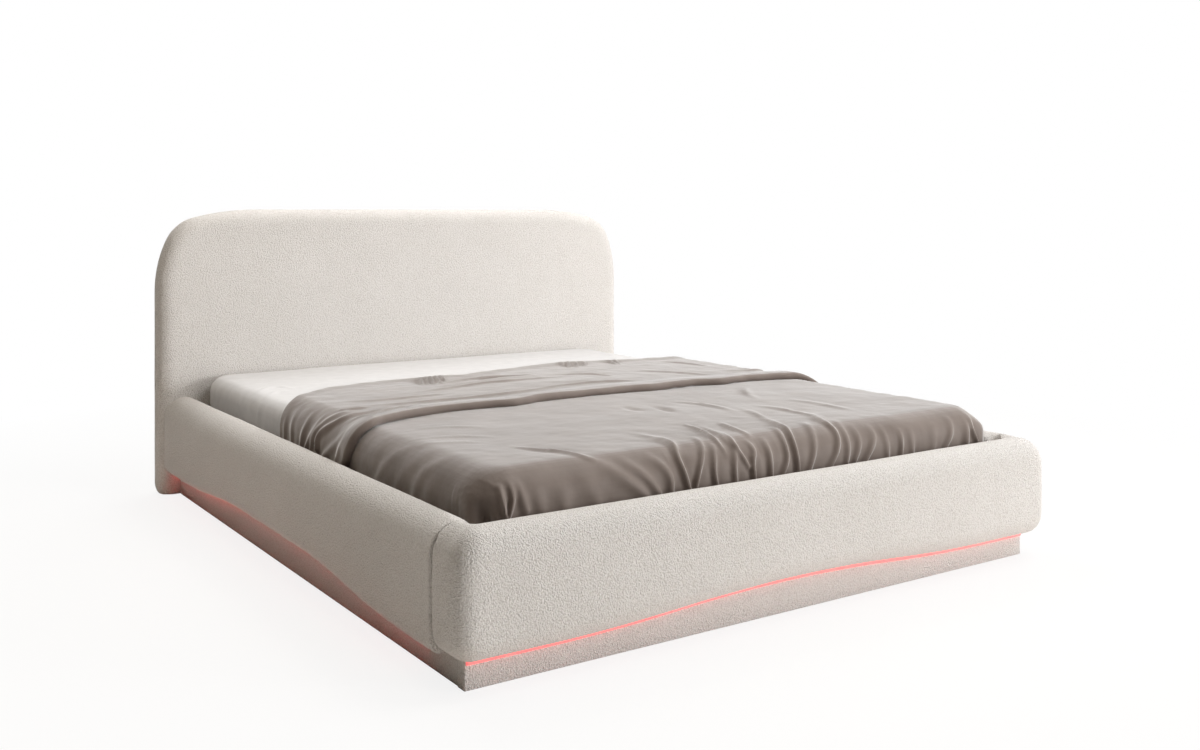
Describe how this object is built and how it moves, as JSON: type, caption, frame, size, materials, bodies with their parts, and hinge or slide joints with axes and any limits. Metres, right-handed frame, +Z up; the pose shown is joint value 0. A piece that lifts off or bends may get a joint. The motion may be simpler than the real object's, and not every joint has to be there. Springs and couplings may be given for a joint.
{
  "type": "upholstered bed",
  "caption": "Upholstered double bed with a low padded frame, round-shouldered headboard, recessed plinth with a line of light, slatted base, mattress and tucked coverlet.",
  "frame": {"origin": "on the floor, under the middle of the bed's bounding box", "axes": "+Z up, +Y from the footboard towards the headboard, +X to the right of someone who stands at the foot and looks at the headboard"},
  "size_m": [1.898, 2.236, 0.974],
  "materials": {
    "boucle": "curly off-white boucle",
    "back_cloth": "plain woven off-white upholstery cloth",
    "foam": null,
    "particle_board": "raw particle board",
    "pine": "planed pine",
    "beech": "laminated beech, clear lacquer",
    "cap_plastic": "black moulded plastic",
    "light_silicone": "milky silicone light tube, lit coral red",
    "driver_plastic": "white moulded plastic",
    "bracket_steel": "black powder coat",
    "bolt_steel": "zinc plated steel",
    "leg_paint": "black powder coat",
    "foot_plastic": "black moulded plastic on a steel stem",
    "mattress_ticking": "white knitted ticking",
    "sheet_cotton": "smooth ivory cotton satin",
    "coverlet_cloth": "taupe velvety satin"
  },
  "bodies": {
    "bed": {"beam_stirrups": "bracket_steel", "centre_beam": "pine", "centre_leg_1": "leg_paint", "centre_leg_2": "leg_paint", "centre_leg_3": "leg_paint", "coverlet": "coverlet_cloth", "fitted_sheet": "sheet_cotton", "footboard_core": "particle_board", "footboard_cover": "boucle", "footboard_foam": "foam", "frame_bolts": "bolt_steel", "headboard_back_panel": "back_cloth", "headboard_core": "particle_board", "headboard_cover": "boucle", "headboard_foam": "foam", "left_foot_bracket": "bracket_steel", "left_head_bracket": "bracket_steel", "left_light_strip": "light_silicone", "left_plinth_board": "particle_board", "left_plinth_cover": "boucle", "left_rail_core": "particle_board", "left_rail_cover": "boucle", "left_rail_foam": "foam", "left_slat_caps": "cap_plastic", "left_slat_ledge": "pine", "light_driver": "driver_plastic", "light_strip_front": "light_silicone", "mattress": "mattress_ticking", "plinth_front_board": "particle_board", "plinth_front_cover": "boucle", "plinth_rear_board": "particle_board", "right_foot_bracket": "bracket_steel", "right_head_bracket": "bracket_steel", "right_light_strip": "light_silicone", "right_plinth_board": "particle_board", "right_plinth_cover": "boucle", "right_rail_core": "particle_board", "right_rail_cover": "boucle", "right_rail_foam": "foam", "right_slat_caps": "cap_plastic", "right_slat_ledge": "pine", "slat_caps_middle": "cap_plastic", "slats_row_01": "beech", "slats_row_02": "beech", "slats_row_03": "beech", "slats_row_04": "beech", "slats_row_05": "beech", "slats_row_06": "beech", "slats_row_07": "beech", "slats_row_08": "beech", "slats_row_09": "beech", "slats_row_10": "beech", "slats_row_11": "beech", "slats_row_12": "beech", "slats_row_13": "beech"},
    "foot_1": {"screw_foot_1": "foot_plastic"},
    "foot_2": {"screw_foot_2": "foot_plastic"},
    "foot_3": {"screw_foot_3": "foot_plastic"}
  },
  "joints": [
    {"name": "foot_1_screw", "type": "slide", "parent": "bed", "child": "foot_1", "axis": [0, 0, 1], "range_m": [-0.01, 0.012]},
    {"name": "foot_2_screw", "type": "slide", "parent": "bed", "child": "foot_2", "axis": [0, 0, 1], "range_m": [-0.01, 0.012]},
    {"name": "foot_3_screw", "type": "slide", "parent": "bed", "child": "foot_3", "axis": [0, 0, 1], "range_m": [-0.01, 0.012]}
  ]
}
